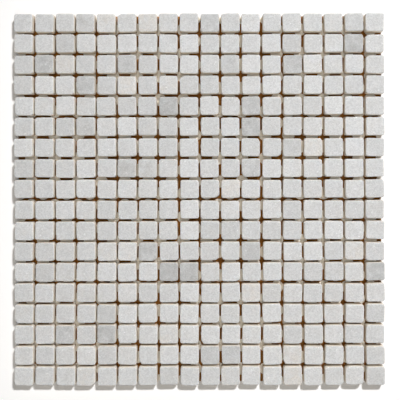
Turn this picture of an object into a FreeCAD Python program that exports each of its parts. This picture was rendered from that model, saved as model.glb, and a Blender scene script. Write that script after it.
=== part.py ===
# Mosaic sheet of tumbled marble: rows of small square stones, bonded face up to one sheet of punched kraft
# paper with open joints between them.
# Millimetres, +Z up. The origin is the middle of the paper's underside, and the stones' faces look up.

import FreeCAD, Part
import math
import os
import random

import Sketcher

Vector = FreeCAD.Vector

# Driving dimensions: alias, value, what it is.
SIZES = (
    ("stones_across", 18, "stones in one row, along X"),
    ("rows_down", 18, "rows of stones, along Y"),
    ("stone_side", 15.4, "side of a stone"),
    ("stone_depth", 10.0, "thickness of a stone"),
    ("joint_across", 1.6, "open joint between two stones of a row"),
    ("joint_down", 1.7, "open joint between two rows"),
    ("arris_wear", 0.45, "slope that tumbling has left along the top edges"),
    ("worn_corner", 0.9, "upright corner rubbed down by tumbling"),
    ("blunt_corner", 1.5, "upright corner rubbed down further"),
    ("chip_long", 2.9, "long leg of a corner that has chipped off"),
    ("chip_short", 1.9, "short leg of a corner that has chipped off"),
    ("slip", 0.35, "how far a stone strays from its place, either way"),
    ("turn", 1.5, "how far a stone strays from square, in degrees either way"),
    ("paper_depth", 0.3, "thickness of the kraft paper"),
    ("paper_inset", 1.0, "how far the paper stops inside the outer stones"),
    ("punch_diameter", 10.5, "round hole in the paper"),
    ("punch_pitch", 19.5, "holes of one grid, centre to centre, along X and along Y"),
    ("punch_start_x", 5.8, "hole of the first grid nearest the middle, along X"),
    ("punch_start_y", 4.6, "hole of the first grid nearest the middle, along Y"),
)

# The same random draws each time, so that the sheet is laid the same way.
LAYING_SEED = 18

# Each kind of stone, with the two legs of its four upright corners, going round from +X +Y.
WORN = ("worn_corner", "worn_corner")
BLUNT = ("blunt_corner", "worn_corner")
CHIPPED = ("chip_long", "chip_short")
STONES = {
    "stone_square": (WORN, WORN, WORN, WORN),
    "stone_rubbed": (WORN, BLUNT, WORN, WORN),
    "stone_blunt": (BLUNT, WORN, BLUNT, BLUNT),
    "stone_chipped": (CHIPPED, WORN, BLUNT, WORN),
}
# How many of each kind go into every dozen or so.
SHARES = {"stone_square": 5, "stone_rubbed": 5, "stone_blunt": 3, "stone_chipped": 1}


def write_sizes(doc):
    """Put the driving dimensions in a sheet, with their aliases and what they are."""
    sheet = doc.addObject("Spreadsheet::Sheet", "sizes")
    for row, (alias, value, meaning) in enumerate(SIZES, start=1):
        sheet.set(f"A{row}", alias)
        sheet.set(f"B{row}", str(value))
        sheet.set(f"C{row}", meaning)
        sheet.setAlias(f"B{row}", alias)
    doc.recompute()
    return sheet


def origin_plane(body, role):
    """Find one of the body's own origin planes."""
    return next(feature for feature in body.Origin.OriginFeatures if feature.Role == role)


def corner_points(half_side, corners):
    """List the outline's points, two for each cut corner, going round from +X +Y against the clock."""
    points = []
    for quarter, (first_leg, second_leg) in enumerate(corners):
        turned = FreeCAD.Rotation(Vector(0, 0, 1), 90 * quarter)
        points.append(turned.multVec(Vector(half_side, half_side - first_leg, 0)))
        points.append(turned.multVec(Vector(half_side - second_leg, half_side, 0)))
    return points


def bind(sketch, constraint, name, expression):
    """Add a measured constraint and tie it to the sheet."""
    index = sketch.addConstraint(constraint)
    sketch.renameConstraint(index, name)
    sketch.setExpression(f"Constraints.{name}", expression)


def ordered(line, ends, axis):
    """Give the line's two ends, lower one first along the axis, as a distance constraint wants them."""
    start, end = ends
    if start[axis] < end[axis]:
        return (line, 1, line, 2)
    return (line, 2, line, 1)


def draw_outline(sketch, sheet, corner_names):
    """Draw a square with four cut corners: the even lines are the cuts and the odd lines the sides."""
    half_side = sheet.stone_side / 2
    corners = [(getattr(sheet, first), getattr(sheet, second)) for first, second in corner_names]
    points = corner_points(half_side, corners)
    count = len(points)
    for line in range(count):
        sketch.addGeometry(Part.LineSegment(points[line], points[(line + 1) % count]), False)
    for line in range(count):
        sketch.addConstraint(Sketcher.Constraint("Coincident", line, 2, (line + 1) % count, 1))

    top, left, bottom, right = 1, 3, 5, 7
    for side in (top, bottom):
        sketch.addConstraint(Sketcher.Constraint("Horizontal", side))
    for side in (left, right):
        sketch.addConstraint(Sketcher.Constraint("Vertical", side))
    half = "sizes.stone_side / 2"
    bind(sketch, Sketcher.Constraint("DistanceY", -1, 1, top, 1, half_side), "top", half)
    bind(sketch, Sketcher.Constraint("DistanceX", left, 1, -1, 1, half_side), "left", half)
    bind(sketch, Sketcher.Constraint("DistanceY", bottom, 1, -1, 1, half_side), "bottom", half)
    bind(sketch, Sketcher.Constraint("DistanceX", -1, 1, right, 1, half_side), "right", half)

    for corner, (first_name, second_name) in enumerate(corner_names):
        cut = 2 * corner
        ends = (points[cut], points[cut + 1])
        # The first leg lies along the side that comes before the corner: Y at the first and third corners.
        if corner % 2 == 0:
            along_x, along_y = second_name, first_name
        else:
            along_x, along_y = first_name, second_name
        across = Sketcher.Constraint("DistanceX", *ordered(cut, ends, 0), getattr(sheet, along_x))
        bind(sketch, across, f"cut_x_{corner + 1}", f"sizes.{along_x}")
        upward = Sketcher.Constraint("DistanceY", *ordered(cut, ends, 1), getattr(sheet, along_y))
        bind(sketch, upward, f"cut_y_{corner + 1}", f"sizes.{along_y}")


def make_stone(doc, sheet, name, corner_names):
    """Make one kind of stone: a square block with worn or chipped corners and worn top edges."""
    body = doc.addObject("PartDesign::Body", name)
    outline = body.newObject("Sketcher::SketchObject", f"{name}_outline")
    outline.AttachmentSupport = [(origin_plane(body, "XY_Plane"), "")]
    outline.MapMode = "FlatFace"
    draw_outline(outline, sheet, corner_names)

    block = body.newObject("PartDesign::Pad", f"{name}_block")
    block.Profile = outline
    block.setExpression("Length", "sizes.stone_depth")
    doc.recompute()

    top_face = max(range(len(block.Shape.Faces)), key=lambda n: block.Shape.Faces[n].CenterOfMass.z)
    wear = body.newObject("PartDesign::Chamfer", f"{name}_arris")
    wear.Base = (block, [f"Face{top_face + 1}"])
    wear.setExpression("Size", "sizes.arris_wear")
    body.Tip = wear
    return body


def lay_row(doc, sheet, stones, chance, row):
    """Lay one row of stones on the paper, each kind, quarter turn and small slip drawn at random."""
    pitch_across = sheet.stone_side + sheet.joint_across
    pitch_down = sheet.stone_side + sheet.joint_down
    kinds = list(SHARES)
    laid = []
    for column in range(int(sheet.stones_across)):
        kind = chance.choices(kinds, weights=[SHARES[name] for name in kinds])[0]
        quarter_turns = chance.randrange(4)
        turn = 90 * quarter_turns + chance.uniform(-sheet.turn, sheet.turn)
        slip_x = chance.uniform(-sheet.slip, sheet.slip)
        slip_y = chance.uniform(-sheet.slip, sheet.slip)
        place = Vector(
            (column - (sheet.stones_across - 1) / 2) * pitch_across + slip_x,
            ((sheet.rows_down - 1) / 2 - row) * pitch_down + slip_y,
            sheet.paper_depth,
        )
        stone = stones[kind].Shape.copy()
        stone.Placement = FreeCAD.Placement(place, FreeCAD.Rotation(Vector(0, 0, 1), turn))
        laid.append(stone)
    laid_row = doc.addObject("Part::Feature", f"tile_row_{row + 1:02d}")
    laid_row.Shape = Part.makeCompound(laid)
    return laid_row


def half_length(count, side, joint):
    """Give half the length that a line of stones takes up with its joints."""
    return (count * (side + joint) - joint) / 2


def punch_places(sheet, half_across, half_down):
    """List the centres of the holes: two square grids, the second half a pitch further both ways."""
    pitch = sheet.punch_pitch
    radius = sheet.punch_diameter / 2
    places = []
    for offset in (0, pitch / 2):
        start_x = sheet.punch_start_x + offset
        start_y = sheet.punch_start_y + offset
        first_x = math.ceil((-half_across - radius - start_x) / pitch)
        last_x = math.floor((half_across + radius - start_x) / pitch)
        first_y = math.ceil((-half_down - radius - start_y) / pitch)
        last_y = math.floor((half_down + radius - start_y) / pitch)
        for step_x in range(first_x, last_x + 1):
            for step_y in range(first_y, last_y + 1):
                places.append(Vector(start_x + step_x * pitch, start_y + step_y * pitch, 0))
    return places


def draw_punched_face(sheet):
    """Draw the paper flat: holes clear of its edges are rings, and those across an edge bite into it."""
    half_across = half_length(sheet.stones_across, sheet.stone_side, sheet.joint_across) - sheet.paper_inset
    half_down = half_length(sheet.rows_down, sheet.stone_side, sheet.joint_down) - sheet.paper_inset
    radius = sheet.punch_diameter / 2
    rings = []
    bites = []
    for place in punch_places(sheet, half_across, half_down):
        # A ring that runs the other way round than the paper's edge is a hole in its face.
        ring = Part.Wire(Part.makeCircle(radius, place, Vector(0, 0, -1)))
        if min(half_across - abs(place.x), half_down - abs(place.y)) > radius:
            rings.append(ring)
        else:
            bites.append(Part.Face(ring))
    blank = Part.makePlane(2 * half_across, 2 * half_down, Vector(-half_across, -half_down, 0))
    bitten = blank.cut(bites) if bites else blank
    # A crumb that a bite cuts off at a corner falls away with the punchings.
    kept = max(bitten.Faces, key=lambda face: face.Area)
    return Part.Face([kept.OuterWire] + rings)


def make_paper(doc, sheet):
    """Make the kraft sheet that carries every stone, punched with two staggered grids of round holes."""
    outline = doc.addObject("Part::Feature", "punched_outline")
    outline.Shape = draw_punched_face(sheet)
    paper = doc.addObject("Part::Extrusion", "paper_backing")
    paper.Base = outline
    paper.DirMode = "Custom"
    paper.Dir = Vector(0, 0, 1)
    paper.Solid = True
    paper.setExpression("LengthFwd", "sizes.paper_depth")
    return paper


def check(doc, pieces):
    """Stop before anything is written if an object failed or a piece isn't sound."""
    for thing in doc.Objects:
        if "Invalid" in thing.State or "Error" in thing.State:
            raise RuntimeError(f"{thing.Name} failed to build")
    for piece in pieces:
        if piece.Shape.isNull() or not piece.Shape.isValid():
            raise RuntimeError(f"{piece.Label} has no sound shape")


def main():
    doc = FreeCAD.newDocument("mosaic_sheet")
    sheet = write_sizes(doc)
    stones = {}
    for name, corner_names in STONES.items():
        stones[name] = make_stone(doc, sheet, name, corner_names)
    doc.recompute()

    chance = random.Random(LAYING_SEED)
    pieces = [lay_row(doc, sheet, stones, chance, row) for row in range(int(sheet.rows_down))]
    pieces.append(make_paper(doc, sheet))
    doc.recompute()
    check(doc, list(stones.values()) + pieces)

    os.makedirs("parts", exist_ok=True)
    for piece in pieces:
        piece.Shape.exportStep(f"parts/{piece.Label}.step")
        print(piece.Label, len(piece.Shape.Solids), "solids", round(piece.Shape.Volume, 2), "mm3")


main()
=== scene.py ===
# Looks of the mosaic sheet: tumbled white marble stones, bonded with open joints to punched kraft paper,
# lying face up on a white table and seen from straight above. Metres, in the part's own frame.

import math

import bmesh
import bpy
import mathutils
import numpy as np
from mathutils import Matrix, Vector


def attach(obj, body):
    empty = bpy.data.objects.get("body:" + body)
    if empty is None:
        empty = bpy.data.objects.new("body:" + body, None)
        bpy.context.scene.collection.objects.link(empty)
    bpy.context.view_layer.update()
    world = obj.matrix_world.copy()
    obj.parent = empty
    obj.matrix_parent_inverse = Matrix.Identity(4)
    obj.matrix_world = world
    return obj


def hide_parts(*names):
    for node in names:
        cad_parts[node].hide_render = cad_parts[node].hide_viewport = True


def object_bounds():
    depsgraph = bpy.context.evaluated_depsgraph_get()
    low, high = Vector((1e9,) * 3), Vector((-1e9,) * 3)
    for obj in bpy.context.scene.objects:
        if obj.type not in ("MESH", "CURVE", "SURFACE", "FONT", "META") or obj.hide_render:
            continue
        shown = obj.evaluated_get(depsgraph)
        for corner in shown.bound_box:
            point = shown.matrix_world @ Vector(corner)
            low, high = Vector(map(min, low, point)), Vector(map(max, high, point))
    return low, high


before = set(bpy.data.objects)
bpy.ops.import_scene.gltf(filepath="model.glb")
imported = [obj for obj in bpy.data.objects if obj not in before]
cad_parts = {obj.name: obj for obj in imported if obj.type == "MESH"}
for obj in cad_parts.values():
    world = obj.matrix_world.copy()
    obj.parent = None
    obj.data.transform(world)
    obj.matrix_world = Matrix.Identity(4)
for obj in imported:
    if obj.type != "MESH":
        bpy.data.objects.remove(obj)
cad_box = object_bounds()

MM = 0.001
STONE_ROWS = sorted(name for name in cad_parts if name.startswith("tile_row_"))
PAPER = "paper_backing"

# The photograph, in pixels of its 400 by 400 frame.
PHOTO_SIDE = 400
SHEET_MIDDLE = (198.90, 198.84)
PIXELS_PER_MM = 1.2170
CAMERA_ROLL = -0.10

# Camera height above the stones, where it stands over the sheet, the usual sensor width, and what is
# too near to be seen.
CAMERA_HEIGHT = 0.66
CAMERA_OVER = (0.020, 0.030)
SENSOR_MM = 36.0
NEAREST_SEEN = 0.05

# The lamps: place from the middle of the stones' faces, point they face, width, colour, and share of the
# light level. The key lamp faces far past the sheet, which evens out its level from edge to edge.
KEY_PLACE = (0.475, 0.800, 1.40)
KEY_AIM = (-2.80, -8.00, 0.00)
KEY_WIDTH = 0.20
KEY_COLOUR = (1.0, 1.0, 1.0)
KEY_SHARE = 0.80
FILL_PLACE = (0.02, -0.60, 1.30)
FILL_AIM = (0.00, 0.00, 0.00)
FILL_WIDTH = 0.30
FILL_COLOUR = (1.0, 0.92, 0.80)
FILL_SHARE = 0.15
SKY_SHARE = 0.05

# The table: how far it reaches, how far it lies under the paper, and how much lighter it shows than it is
# lit. Then, out from the sheet's edge: where its colour changes from the painted warm bounce under the
# sheet, and where it turns into plain white.
TABLE_REACH = 3.0
TABLE_DROP = 0.05 * MM
TABLE_GLOW = 0.13
TABLE_EDGE = (-3.0 * MM, -1.0 * MM)
PLAIN_WHITE_FROM = (30.0 * MM, 200.0 * MM)

# Colours, with full cover.
MARBLE_WHITE = (0.695, 0.702, 0.708, 1.0)
MARBLE_GREY = (0.470, 0.474, 0.473, 1.0)
MARBLE_BLUSH = (0.715, 0.650, 0.570, 1.0)
# The sides' colours: the pale one is partly dust and partly a painted glow of light through the marble, the
# brown one partly glue and partly painted shade and warm bounce light deep in the joints.
SIDE_PALE_DUST_AND_PAINTED_GLOW = (0.945, 0.885, 0.785, 1.0)
SIDE_BROWN_GLUE_AND_PAINTED_SHADE = (0.580, 0.360, 0.165, 1.0)
KRAFT_LIGHT = (0.460, 0.200, 0.030, 1.0)
KRAFT_DARK = (0.240, 0.092, 0.008, 1.0)
KRAFT_STAIN = (0.140, 0.050, 0.005, 1.0)
TABLE_WHITE = (0.930, 0.930, 0.930, 1.0)
# Under the sheet the white table is painted yellowish, for warm bounce light off the paper and the stones'
# sides.
TABLE_UNDER_SHEET_PAINTED_BOUNCE = (0.930, 0.887, 0.785, 1.0)
PLAIN_WHITE = (1.0, 1.0, 1.0, 1.0)

# Marble: cells to the metre of its clouds, crystals and grain, the ranges of noise that count, and how
# strongly each of its features shows.
CLOUD_CELLS = 150.0
CLOUD_RANGE = (0.32, 0.68)
CLOUD_STRENGTH = 0.42
BLUSH_RANGE = (0.38, 0.68)
BLUSH_STRENGTH = (0.2, 1.0)
CRYSTAL_CELLS = 1150.0
CRYSTAL_SPECKLE = (-0.5, 0.5)
GRAIN_CELLS = 2600.0
GRAIN_RANGE = (0.3, 0.7)
GRAIN_SPECKLE = (-0.4, 0.4)
SPECKLE_STRENGTH = 0.205
# The rim's lift is partly frosted wear and partly a painted highlight along the face's edge.
RIM_FROST_AND_PAINTED_HIGHLIGHT = 0.15
GLINT_ABOVE = 0.993
# The glints' sparkle is painted into the colour as lighter specks; their lower roughness is real gloss.
PAINTED_GLINT_LIFT = 0.24
GLINT_GLOSS = 0.38
MARBLE_ROUGHNESS = 0.62
MARBLE_RELIEF = 0.08 * MM

# The sawn sides' colour: paler than the face, partly dust and partly a painted glow of light through the
# marble,
# and browner near the paper, partly glue and partly painted shade and warm bounce light deep in the joints.
# Here:
# how far up a surface faces where it is strongest and where it has gone, how strong it is, and the heights
# between which its brown fades.
SAWN_FACING = (0.15, 0.75)
SAWN_STRENGTH = (0.8, 0.0)
BROWN_HEIGHT = (0.5 * MM, 5.5 * MM)

# Kraft paper: cells to the metre of its fibres each way and of its stains, how the fibres are drawn out,
# the ranges of noise that count, how strongly stains show, and the depth of the fibres.
FIBRE_CELLS = 2600.0
FIBRE_STRETCH = (1.0, 0.16, 1.0)
CROSSING_CELLS = 1900.0
CROSSING_STRETCH = (0.2, 1.0, 1.0)
WEAVE_RANGE = (0.75, 1.25)
STAIN_CELLS = 45.0
STAIN_RANGE = (0.42, 0.72)
STAIN_STRENGTH = (0.0, 0.45)
KRAFT_RELIEF = 0.1 * MM

# Stones that stand out in the photograph, as (row, column) from the top left one, counted from 1.
GREY_STONES = (
    (3, 2), (3, 6), (4, 4), (5, 8), (3, 14), (2, 17), (5, 12), (6, 12),
    (12, 7), (12, 12), (13, 8), (13, 9), (13, 18), (16, 3), (16, 5),
)
CLOUDY_STONES = (
    (1, 4), (1, 10), (2, 3), (3, 11), (6, 4), (7, 14), (8, 6), (8, 7), (8, 12), (17, 10), (17, 11),
)
WARM_STONES = (
    (1, 5), (1, 7), (3, 3), (4, 6), (4, 8), (7, 15), (9, 11), (12, 5), (12, 6), (12, 17),
    (14, 12), (16, 8), (17, 14), (18, 4), (18, 14),
)

# The usual stones' greyness and warmth, as middle and spread. All else here is least and most.
USUAL_GREY = (0.195, 0.105)
USUAL_WARMTH = (0.03, 0.06)
USUAL_CLOUD = (0.2, 0.7)
GREY_STONE_GREY = (0.58, 0.86)
GREY_STONE_CLOUD = (1.0, 1.5)
CLOUDY_STONE_GREY = (0.42, 0.58)
CLOUDY_STONE_CLOUD = (0.9, 1.3)
WARM_STONE_GREY = (0.05, 0.2)
WARM_STONE_WARMTH = (0.24, 0.48)

# How much tumbling has taken off along edges and corners and from the sides, in metres: least and most.
# The sides that face the next row are rubbed most, which leaves the joints between rows a little wider.
TOP_ARRIS_WEAR = (0.12 * MM, 0.40 * MM)
TOP_CORNER_WEAR = (0.45 * MM, 1.05 * MM)
BACK_ARRIS_WEAR = (0.10 * MM, 0.25 * MM)
COLUMN_SIDE_WEAR = (0.00 * MM, 0.09 * MM)
ROW_SIDE_WEAR = (0.09 * MM, 0.27 * MM)
CORNER_WEAR = (0.00 * MM, 0.22 * MM)
EDGE_ROUNDING = (0.14 * MM, 0.24 * MM)

# How far out of true faces are, as slopes, and how deep the top one is rubbed.
SIDE_LEAN = 0.014
FACE_TILT = 0.008
FACE_DROP = 0.12 * MM

# Knocks take a flat off near a corner. Their bearing strays from the corner's by some degrees, and their
# rise is the slope at which they face up.
KNOCKS_PER_STONE = 4
KNOCK_DEPTH = (0.05 * MM, 0.90 * MM)
KNOCK_STRAY = 14
KNOCK_RISE = (-0.2, 1.3)

# Nicks are small hollows along the top edge, lumps are the face's slow waves, and the rim is its pale edge,
# partly frosted wear and partly a painted highlight.
NICKS_PER_STONE = 5
NICK_DEPTH = (0.10 * MM, 0.40 * MM)
NICK_SIZE = (0.45 * MM, 1.10 * MM)
LUMP_HEIGHT = 0.026 * MM
LUMP_LENGTH = (2.2 * MM, 7.0 * MM)
LUMP_WAVES = 9
RIM_WIDTH = 0.7 * MM

# Divisions of one dressed stone: how many along a side, how much closer they get towards its ends, the
# heights of its rings from face to back, and the share of its width that the last ring has on the back.
SIDE_DIVISIONS = 20
DIVISION_EASE = 0.9
RING_HEIGHTS = (0.95, 0.85, 0.60, 0.0, -0.70, -0.93, -1.0)
BACK_RING = 0.93

# The search for a stone's surface: where it starts, as a share of the block's reach, how often it halves,
# and the largest power that it takes.
FURTHEST_SHARE = 1.1
HALVINGS = 18
LARGEST_POWER = 60

# Points of the CAD blocks nearer than this count as one, and so do levels.
TOUCH = 0.01 * MM

STONE_SEED = 41


def spread(count, ease):
    """Give values from -1 to 1, closer together towards both ends."""
    even = np.linspace(-1, 1, count + 1) * ease * math.pi / 2
    return np.sin(even) / math.sin(ease * math.pi / 2)


def stone_template():
    """Make the net that every dressed stone shares: points on a cube from -1 to 1, and its faces."""
    stations = spread(SIDE_DIVISIONS, DIVISION_EASE)
    last = SIDE_DIVISIONS
    width = SIDE_DIVISIONS + 1
    points = [(x, y, 1.0) for y in stations for x in stations]
    faces = []
    for row in range(last):
        for column in range(last):
            start = row * width + column
            faces.append((start, start + 1, start + width + 1, start + width))

    # The way round the face's edge, against the clock.
    edge = list(range(last))
    edge += [row * width + last for row in range(last)]
    edge += [last * width + last - column for column in range(last)]
    edge += [(last - row) * width for row in range(last)]
    around = [points[corner][:2] for corner in edge]

    upper = edge
    for height in RING_HEIGHTS:
        lower = add_ring(points, around, 1.0, height)
        faces += ring_faces(upper, lower)
        upper = lower
    lower = add_ring(points, around, BACK_RING, -1.0)
    faces += ring_faces(upper, lower)
    middle = len(points)
    points.append((0.0, 0.0, -1.0))
    for step, corner in enumerate(lower):
        faces.append((corner, middle, lower[(step + 1) % len(lower)]))
    return np.array(points), faces


def add_ring(points, around, share, height):
    """Add the way round at a share of its width and at a height, and give its points' numbers."""
    first = len(points)
    points += [(x * share, y * share, height) for x, y in around]
    return list(range(first, len(points)))


def ring_faces(upper, lower):
    """Join two rings of points with four-sided faces."""
    count = len(upper)
    return [
        (upper[step], lower[step], lower[(step + 1) % count], upper[(step + 1) % count])
        for step in range(count)
    ]


def read_stones(node):
    """Find each stone in a CAD row: its outline, going round, and its lowest and highest level."""
    mesh = bmesh.new()
    mesh.from_mesh(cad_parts[node].data)
    bmesh.ops.remove_doubles(mesh, verts=mesh.verts, dist=TOUCH)
    left = set(mesh.verts)
    stones = []
    while left:
        front = [left.pop()]
        found = []
        while front:
            corner = front.pop()
            found.append(tuple(corner.co))
            for side in corner.link_edges:
                other = side.other_vert(corner)
                if other in left:
                    left.remove(other)
                    front.append(other)
        found = np.array(found)
        low, high = found[:, 2].min(), found[:, 2].max()
        outline = found[found[:, 2] < low + TOUCH][:, :2]
        middle = outline.mean(axis=0)
        bearing = np.arctan2(outline[:, 1] - middle[1], outline[:, 0] - middle[0])
        stones.append((outline[np.argsort(bearing)], low, high))
    mesh.free()
    stones.sort(key=lambda stone: stone[0][:, 0].mean())
    return stones


def outline_sides(outline):
    """Give each side of an outline: its outward direction and its length."""
    along = np.roll(outline, -1, axis=0) - outline
    length = np.linalg.norm(along, axis=1)
    outward = np.stack([along[:, 1], -along[:, 0]], axis=1) / length[:, None]
    return outward, length


def worn_planes(corners, outward, chance):
    """List the planes that bound a worn stone, as rows of direction and distance from its middle.

    corners are the block's own corner points, and no plane reaches outside the block. The sides with
    an odd number are the four long ones, and those with an even number are the cut corners.
    """
    planes = []

    def cut(direction, depth):
        """Cut this deep into whatever lies furthest out along the direction."""
        direction = np.asarray(direction, float)
        direction = direction / np.linalg.norm(direction)
        planes.append((*direction, (corners @ direction).max() - depth))

    def dress(face, tip, depth):
        """Rub a face down by the depth, and askew by the tip."""
        level = corners @ np.asarray(face, float)
        on_face = corners[level > level.max() - TOUCH]
        direction = np.asarray(face, float) + np.asarray(tip, float)
        direction = direction / np.linalg.norm(direction)
        planes.append((*direction, (on_face @ direction).min() - depth))

    tilt = chance.uniform(-FACE_TILT, FACE_TILT, 2)
    dress((0.0, 0.0, 1.0), (*tilt, 0.0), chance.uniform(0, FACE_DROP))
    cut((0.0, 0.0, -1.0), 0.0)
    for number, side in enumerate(outward):
        top_wear, side_wear = TOP_CORNER_WEAR, CORNER_WEAR
        if number % 2:
            faces_a_row = abs(side[1]) > abs(side[0])
            top_wear = TOP_ARRIS_WEAR
            side_wear = ROW_SIDE_WEAR if faces_a_row else COLUMN_SIDE_WEAR
        lean = chance.uniform(-SIDE_LEAN, SIDE_LEAN)
        dress((*side, 0.0), (0.0, 0.0, lean), chance.uniform(*side_wear))
        cut((*side, 1.0), chance.uniform(*top_wear) / math.sqrt(2))
        cut((*side, -1.0), chance.uniform(*BACK_ARRIS_WEAR) / math.sqrt(2))
    for _ in range(KNOCKS_PER_STONE):
        bearing = math.radians(45 + 90 * chance.integers(4) + chance.normal(0, KNOCK_STRAY))
        rise = chance.uniform(*KNOCK_RISE)
        # The cube makes most knocks slight and a few deep.
        least, most = KNOCK_DEPTH
        depth = least + (most - least) * chance.random() ** 3
        cut((math.cos(bearing), math.sin(bearing), rise), depth)
    return np.array(planes)


def reach_of(directions, planes, rounding):
    """Find how far along each direction the rounded solid inside the planes reaches, by halving."""
    slope = directions @ planes[:, :3].T
    near = np.zeros(len(directions))
    far = np.full(len(directions), FURTHEST_SHARE)
    for _ in range(HALVINGS):
        middle = (near + far) / 2
        inside = planes[:, 3] - slope * middle[:, None]
        power = np.clip(-inside / rounding, -LARGEST_POWER, LARGEST_POWER)
        room = -rounding * np.log(np.exp(power).sum(axis=1))
        near = np.where(room > 0, middle, near)
        far = np.where(room > 0, far, middle)
    return near


def lumps(points, chance):
    """Give a smooth random height between 0 and 1 at each point."""
    wave = chance.normal(size=(LUMP_WAVES, 3))
    wave /= np.linalg.norm(wave, axis=1)[:, None]
    wave *= 2 * math.pi / chance.uniform(*LUMP_LENGTH, LUMP_WAVES)[:, None]
    phase = chance.uniform(0, 2 * math.pi, LUMP_WAVES)
    total = np.sin(points @ wave.T + phase).sum(axis=1)
    return np.clip(0.5 + total / LUMP_WAVES, 0, 1)


def dress_stone(stone, template, chance):
    """Shape one worn stone over its CAD block, and tell how near each point lies to the face's edge."""
    outline, low, high = stone
    outward, length = outline_sides(outline)
    # Go round from a cut corner, so that the odd sides are the long ones.
    if length[0] > length[1]:
        outline = np.roll(outline, -1, axis=0)
        outward = np.roll(outward, -1, axis=0)

    # Sides 1 and 5 face each other, and so do sides 3 and 7.
    reach = [(outline @ side).max() for side in outward]
    half_x = (reach[1] + reach[5]) / 2
    half_y = (reach[3] + reach[7]) / 2
    middle = (outward[1] * (reach[1] - reach[5]) + outward[3] * (reach[3] - reach[7])) / 2
    half_depth = (high - low) / 2
    flat = outline - middle
    corners = np.array([(x, y, z) for x, y in flat for z in (-half_depth, half_depth)])

    targets = (
        template[:, :1] * half_x * np.append(outward[1], 0)
        + template[:, 1:2] * half_y * np.append(outward[3], 0)
        + template[:, 2:] * np.array([0, 0, half_depth])
    )
    planes = worn_planes(corners, outward, chance)
    rounding = chance.uniform(*EDGE_ROUNDING)
    points = targets * reach_of(targets, planes, rounding)[:, None]

    distance = np.linalg.norm(points, axis=1)
    inward = LUMP_HEIGHT * lumps(points, chance)
    for _ in range(NICKS_PER_STONE):
        start = chance.integers(len(flat))
        along = chance.random()
        spot = flat[start] * (1 - along) + flat[(start + 1) % len(flat)] * along
        spot = np.append(spot, half_depth)
        size = chance.uniform(*NICK_SIZE)
        depth = chance.uniform(*NICK_DEPTH)
        inward += depth * np.exp(-((points - spot) ** 2).sum(axis=1) / size**2)
    on_back = template[:, 2] <= -1.0
    inward[on_back] = 0
    points *= (1 - inward / distance)[:, None]

    edge_room = np.min(
        [(flat @ side).max() - points[:, :2] @ side for side in outward], axis=0
    )
    rim = np.exp(-edge_room / RIM_WIDTH) * (points[:, 2] > 0)
    place = np.array([*middle, (low + high) / 2])
    return points + place, rim


def stone_character(row, column, chance):
    """Choose how grey, how warm and how cloudy a stone is, each from 0 for not at all."""
    grey = max(0.0, chance.normal(*USUAL_GREY))
    warm = max(0.0, chance.normal(*USUAL_WARMTH))
    cloud = chance.uniform(*USUAL_CLOUD)
    if (row, column) in GREY_STONES:
        grey = chance.uniform(*GREY_STONE_GREY)
        cloud = chance.uniform(*GREY_STONE_CLOUD)
        warm = 0.0
    elif (row, column) in CLOUDY_STONES:
        grey = chance.uniform(*CLOUDY_STONE_GREY)
        cloud = chance.uniform(*CLOUDY_STONE_CLOUD)
    elif (row, column) in WARM_STONES:
        grey = chance.uniform(*WARM_STONE_GREY)
        warm = chance.uniform(*WARM_STONE_WARMTH)
    return grey, warm, cloud


def add_attribute(mesh, name, kind, field, values):
    """Store one value a point on the mesh, for its material."""
    layer = mesh.attributes.new(name, kind, "POINT")
    layer.data.foreach_set(field, np.asarray(values, np.float32).ravel())


def dress_row(row, node, template, net, material):
    """Make one row of worn stones in place of its CAD blocks."""
    chance = np.random.default_rng([STONE_SEED, row])
    points = []
    faces = []
    rims = []
    looks = []
    seeds = []
    for column, stone in enumerate(read_stones(node), start=1):
        first = sum(len(part) for part in points)
        dressed, rim = dress_stone(stone, template, chance)
        points.append(dressed)
        rims.append(rim)
        faces += [tuple(first + corner for corner in face) for face in net]
        look = stone_character(row, column, chance)
        looks.append(np.tile(look, (len(dressed), 1)))
        seeds.append(np.tile(chance.uniform(-1, 1, 3), (len(dressed), 1)))
    mesh = bpy.data.meshes.new(f"stones_{row:02d}")
    mesh.from_pydata(np.concatenate(points).tolist(), [], faces)
    mesh.shade_smooth()
    add_attribute(mesh, "rim", "FLOAT", "value", np.concatenate(rims))
    add_attribute(mesh, "look", "FLOAT_VECTOR", "vector", np.concatenate(looks))
    add_attribute(mesh, "seed", "FLOAT_VECTOR", "vector", np.concatenate(seeds))
    mesh.materials.append(material)
    piece = bpy.data.objects.new(f"stones_row_{row:02d}", mesh)
    bpy.context.scene.collection.objects.link(piece)
    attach(piece, "root")
    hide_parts(node)


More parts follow.
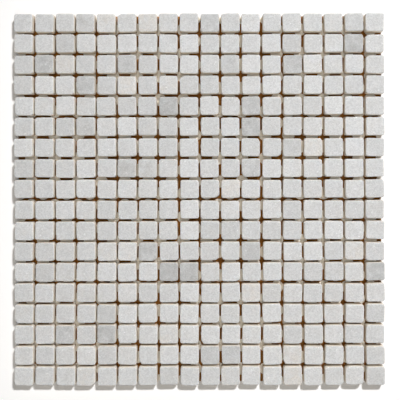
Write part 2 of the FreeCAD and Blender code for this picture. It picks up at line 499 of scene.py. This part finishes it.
class Painter:
    """Adds nodes to a material, one call a node."""

    def __init__(self, name):
        self.material = bpy.data.materials.new(name)
        self.material.use_nodes = True
        self.tree = self.material.node_tree
        self.tree.nodes.clear()

    def add(self, kind, settings=None, **inputs):
        """Add a node, set it, and feed its inputs: a socket joins, anything else is its value.

        An input goes by its name with _ for each space, or by i and its number.
        """
        node = self.tree.nodes.new(kind)
        for name, value in (settings or {}).items():
            setattr(node, name, value)
        for name, value in inputs.items():
            numbered = name[0] == "i" and name[1:].isdigit()
            key = int(name[1:]) if numbered else name.replace("_", " ")
            if isinstance(value, bpy.types.NodeSocket):
                self.tree.links.new(value, node.inputs[key])
            else:
                node.inputs[key].default_value = value
        return node

    def math(self, operation, *values, clamp=False):
        """Add a step on numbers, and give its result."""
        inputs = {f"i{number}": value for number, value in enumerate(values)}
        node = self.add("ShaderNodeMath", {"operation": operation, "use_clamp": clamp}, **inputs)
        return node.outputs[0]

    def vector(self, operation, *values):
        """Add a step on vectors, and give its result."""
        inputs = {f"i{number}": value for number, value in enumerate(values)}
        return self.add("ShaderNodeVectorMath", {"operation": operation}, **inputs).outputs[0]

    def remap(self, value, low, high, new_low=0.0, new_high=1.0):
        """Stretch a value from one range to another, held within it."""
        ends = {"i1": low, "i2": high, "i3": new_low, "i4": new_high}
        return self.add("ShaderNodeMapRange", {"clamp": True}, i0=value, **ends).outputs[0]

    def mix(self, share, first, second):
        """Mix two colours."""
        return self.add("ShaderNodeMix", {"data_type": "RGBA"}, i0=share, i6=first, i7=second).outputs[2]

    def noise(self, place, scale, detail=2.0, roughness=0.5, distortion=0.0):
        """Add a cloudy noise with cells of 1/scale metres."""
        node = self.add(
            "ShaderNodeTexNoise", Vector=place, Scale=scale, Detail=detail,
            Roughness=roughness, Distortion=distortion,
        )
        return node.outputs[0]

    def place(self):
        """Give the place on the object, which is also the place in the part's frame."""
        return self.add("ShaderNodeTexCoord").outputs["Object"]

    def split(self, vector):
        """Give a vector's three parts."""
        return self.add("ShaderNodeSeparateXYZ", Vector=vector).outputs

    def attribute(self, name, output):
        """Read a value stored on the mesh."""
        return self.add("ShaderNodeAttribute", {"attribute_name": name}).outputs[output]

    def finish(self, shader):
        """Join the shader to the surface."""
        output = self.add("ShaderNodeOutputMaterial")
        self.tree.links.new(shader.outputs[0], output.inputs["Surface"])
        return self.material


def marble():
    """Crystalline white marble: sugary grain, soft clouds, a few glints, also painted lighter, and a pale
    rim of frosted wear and painted highlight.
    """
    paint = Painter("tumbled_marble")
    place = paint.place()
    own = paint.vector("ADD", place, paint.attribute("seed", "Vector"))
    grey, warm, cloudy = paint.split(paint.attribute("look", "Vector"))

    clouds = paint.noise(own, CLOUD_CELLS, detail=4.0, roughness=0.6, distortion=0.6)
    patches = paint.remap(clouds, *CLOUD_RANGE)
    greyness = paint.math("MULTIPLY", cloudy, paint.math("SUBTRACT", patches, 0.5))
    greyness = paint.math("MULTIPLY_ADD", greyness, CLOUD_STRENGTH, grey, clamp=True)
    body = paint.mix(greyness, MARBLE_WHITE, MARBLE_GREY)
    blush = paint.math("MULTIPLY", warm, paint.remap(clouds, *BLUSH_RANGE, *BLUSH_STRENGTH))
    body = paint.mix(blush, body, MARBLE_BLUSH)

    # Crystals of about a millimetre, each a little lighter or darker than the next.
    crystals = paint.add("ShaderNodeTexVoronoi", {"feature": "F1"}, Vector=own, Scale=CRYSTAL_CELLS)
    shade, sparkle, relief = paint.add("ShaderNodeSeparateColor", Color=crystals.outputs["Color"]).outputs
    fine = paint.noise(own, GRAIN_CELLS)
    coarse_speckle = paint.remap(shade, 0, 1, *CRYSTAL_SPECKLE)
    fine_speckle = paint.remap(fine, *GRAIN_RANGE, *GRAIN_SPECKLE)
    speckle = paint.math("ADD", coarse_speckle, fine_speckle)
    level = paint.math("MULTIPLY_ADD", speckle, SPECKLE_STRENGTH, 1.0)
    # Lighter along the face's edge: partly frosted wear, partly a painted highlight.
    level = paint.math("MULTIPLY_ADD", paint.attribute("rim", "Fac"), RIM_FROST_AND_PAINTED_HIGHLIGHT, level)
    # Glints are glossier, and their sparkle is also painted into the colour as a lighter speck.
    glint = paint.math("GREATER_THAN", sparkle, GLINT_ABOVE)
    level = paint.math("MULTIPLY_ADD", glint, PAINTED_GLINT_LIFT, level)
    body = paint.add("ShaderNodeVectorMath", {"operation": "SCALE"}, i0=body, Scale=level).outputs[0]

    # The sawn sides are paler than the rubbed face, partly dust it has lost and partly a painted glow of
    # light through the marble, and browner near the paper, partly glue and partly painted shade and warm
    # bounce deep in the joints.
    facing_up = paint.split(paint.add("ShaderNodeNewGeometry").outputs["Normal"])[2]
    side = paint.remap(facing_up, *SAWN_FACING, *SAWN_STRENGTH)
    pale_over_brown = paint.remap(paint.split(place)[2], *BROWN_HEIGHT)
    body = paint.mix(side, body, paint.mix(pale_over_brown, SIDE_BROWN_GLUE_AND_PAINTED_SHADE, SIDE_PALE_DUST_AND_PAINTED_GLOW))

    height = paint.math("MULTIPLY_ADD", relief, 0.5, fine)
    bump = paint.add("ShaderNodeBump", Strength=0.55, Distance=MARBLE_RELIEF, Height=height)
    roughness = paint.math("MULTIPLY_ADD", glint, -GLINT_GLOSS, MARBLE_ROUGHNESS)
    surface = paint.add(
        "ShaderNodeBsdfPrincipled", Base_Color=body, Roughness=roughness, Normal=bump.outputs[0], IOR=1.49,
        Subsurface_Weight=0.35, Subsurface_Radius=(1.0, 0.9, 0.8), Subsurface_Scale=1.2 * MM,
    )
    return paint.finish(surface)


def kraft():
    """Brown kraft paper: long soft fibres, darker stains and a dull face."""
    paint = Painter("kraft_paper")
    place = paint.place()
    stretched = paint.vector("MULTIPLY", place, FIBRE_STRETCH)
    fibres = paint.noise(stretched, FIBRE_CELLS, detail=4.0, roughness=0.65)
    across = paint.vector("MULTIPLY", place, CROSSING_STRETCH)
    crossing = paint.noise(across, CROSSING_CELLS, detail=3.0, roughness=0.6)
    stains = paint.noise(place, STAIN_CELLS, detail=3.0, roughness=0.55, distortion=0.8)
    weave = paint.math("ADD", fibres, crossing)
    tone = paint.mix(paint.remap(weave, *WEAVE_RANGE), KRAFT_DARK, KRAFT_LIGHT)
    tone = paint.mix(paint.remap(stains, *STAIN_RANGE, *STAIN_STRENGTH), tone, KRAFT_STAIN)
    bump = paint.add("ShaderNodeBump", Strength=0.5, Distance=KRAFT_RELIEF, Height=weave)
    surface = paint.add("ShaderNodeBsdfPrincipled", Base_Color=tone, Roughness=0.82, Normal=bump.outputs[0])
    return paint.finish(surface)


def white_table():
    """A matt white table that keeps the sheet's shadow, and from a little way off shows as plain white.

    Under the sheet, where it stands in for what shows through the paper's holes, it is painted yellowish
    for the warm bounce light from the paper and the stones' sides there.
    """
    paint = Painter("white_table")
    seen = paint.add("ShaderNodeLightPath").outputs["Is Camera Ray"]
    place = paint.split(paint.place())
    aside = paint.math("SUBTRACT", paint.math("ABSOLUTE", place[0]), cad_box[1].x)
    along = paint.math("SUBTRACT", paint.math("ABSOLUTE", place[1]), cad_box[1].y)
    beyond = paint.math("MAXIMUM", aside, along)
    # Under the sheet the colour is painted yellowish for warm bounce light; beyond its edge it is white.
    tone = paint.mix(paint.remap(beyond, *TABLE_EDGE), TABLE_UNDER_SHEET_PAINTED_BOUNCE, TABLE_WHITE)
    matt = paint.add("ShaderNodeBsdfDiffuse", Color=tone)
    glow = paint.math("MULTIPLY", seen, TABLE_GLOW)
    lift = paint.add("ShaderNodeEmission", Color=tone, Strength=glow)
    near = paint.add("ShaderNodeAddShader", i0=matt.outputs[0], i1=lift.outputs[0])
    far = paint.add("ShaderNodeEmission", Color=PLAIN_WHITE, Strength=1.0)
    away = paint.math("MULTIPLY", seen, paint.remap(beyond, *PLAIN_WHITE_FROM))
    whole = paint.add("ShaderNodeMixShader", i0=away, i1=near.outputs[0], i2=far.outputs[0])
    return paint.finish(whole)


def make_table():
    """Lay the table just under the paper."""
    height = cad_box[0].z - TABLE_DROP
    corners = [
        (TABLE_REACH * right, TABLE_REACH * up, height)
        for right, up in ((-1, -1), (1, -1), (1, 1), (-1, 1))
    ]
    mesh = bpy.data.meshes.new("table")
    mesh.from_pydata(corners, [], [(0, 1, 2, 3)])
    mesh.materials.append(white_table())
    table = bpy.data.objects.new("table", mesh)
    bpy.context.scene.collection.objects.link(table)


def make_lamp(name, place, aim, width, tint, share):
    """Hang a round lamp that faces its aim and gives the sheet's middle its share of the light level.

    White paint there shows at the power, times the cosines at which light leaves the lamp and meets the
    sheet, over the square of pi times the distance.
    """
    lamp = bpy.data.lights.new(name, "AREA")
    lamp.shape = "DISK"
    lamp.size = width
    lamp.color = tint
    towards = mathutils.Vector(place)
    facing = (towards - mathutils.Vector(aim)).normalized()
    lamp.energy = share * math.pi**2 * towards.length**4 / (towards.z * facing.dot(towards))
    hung = bpy.data.objects.new(name, lamp)
    hung.location = towards + mathutils.Vector((0, 0, cad_box[1].z))
    hung.rotation_euler = facing.to_track_quat("Z", "Y").to_euler()
    bpy.context.scene.collection.objects.link(hung)


def make_light():
    """Light from the picture's upper right, with a warm fill from its lower side and a weak even sky."""
    make_lamp("key_lamp", KEY_PLACE, KEY_AIM, KEY_WIDTH, KEY_COLOUR, KEY_SHARE)
    make_lamp("fill_lamp", FILL_PLACE, FILL_AIM, FILL_WIDTH, FILL_COLOUR, FILL_SHARE)

    # The camera sees the sky as plain white.
    world = bpy.data.worlds.new("sky")
    world.use_nodes = True
    nodes = world.node_tree.nodes
    links = world.node_tree.links
    background = nodes["Background"]
    background.inputs["Color"].default_value = PLAIN_WHITE
    seen = nodes.new("ShaderNodeLightPath").outputs["Is Camera Ray"]
    level = nodes.new("ShaderNodeMapRange")
    links.new(seen, level.inputs["Value"])
    level.inputs["To Min"].default_value = SKY_SHARE
    level.inputs["To Max"].default_value = 1.0
    links.new(level.outputs[0], background.inputs["Strength"])
    bpy.context.scene.world = world


def make_camera():
    """Look straight down, so that the sheet lies in the picture where the photograph has it."""
    view_width = PHOTO_SIDE / PIXELS_PER_MM * MM
    lens = bpy.data.cameras.new("camera")
    lens.sensor_width = SENSOR_MM
    lens.lens = SENSOR_MM * CAMERA_HEIGHT / view_width
    lens.clip_start = NEAREST_SEEN

    # How far the picture's middle is to the right of the sheet's middle and below it.
    picture_middle = (PHOTO_SIDE - 1) / 2
    aside = (picture_middle - SHEET_MIDDLE[0]) / PIXELS_PER_MM * MM
    below = (picture_middle - SHEET_MIDDLE[1]) / PIXELS_PER_MM * MM
    over_x, over_y = CAMERA_OVER
    lens.shift_x = (aside - over_x) / view_width
    lens.shift_y = (-below - over_y) / view_width

    camera = bpy.data.objects.new("camera", lens)
    camera.location = (over_x, over_y, cad_box[1].z + CAMERA_HEIGHT)
    camera.rotation_euler = (0, 0, math.radians(CAMERA_ROLL))
    bpy.context.scene.collection.objects.link(camera)
    bpy.context.scene.camera = camera


def main():
    bpy.context.scene.view_settings.view_transform = "Standard"
    make_camera()
    make_light()
    make_table()

    stone = marble()
    template, net = stone_template()
    for row, node in enumerate(STONE_ROWS, start=1):
        dress_row(row, node, template, net, stone)

    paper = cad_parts[PAPER]
    paper.data.materials.clear()
    paper.data.materials.append(kraft())


main()
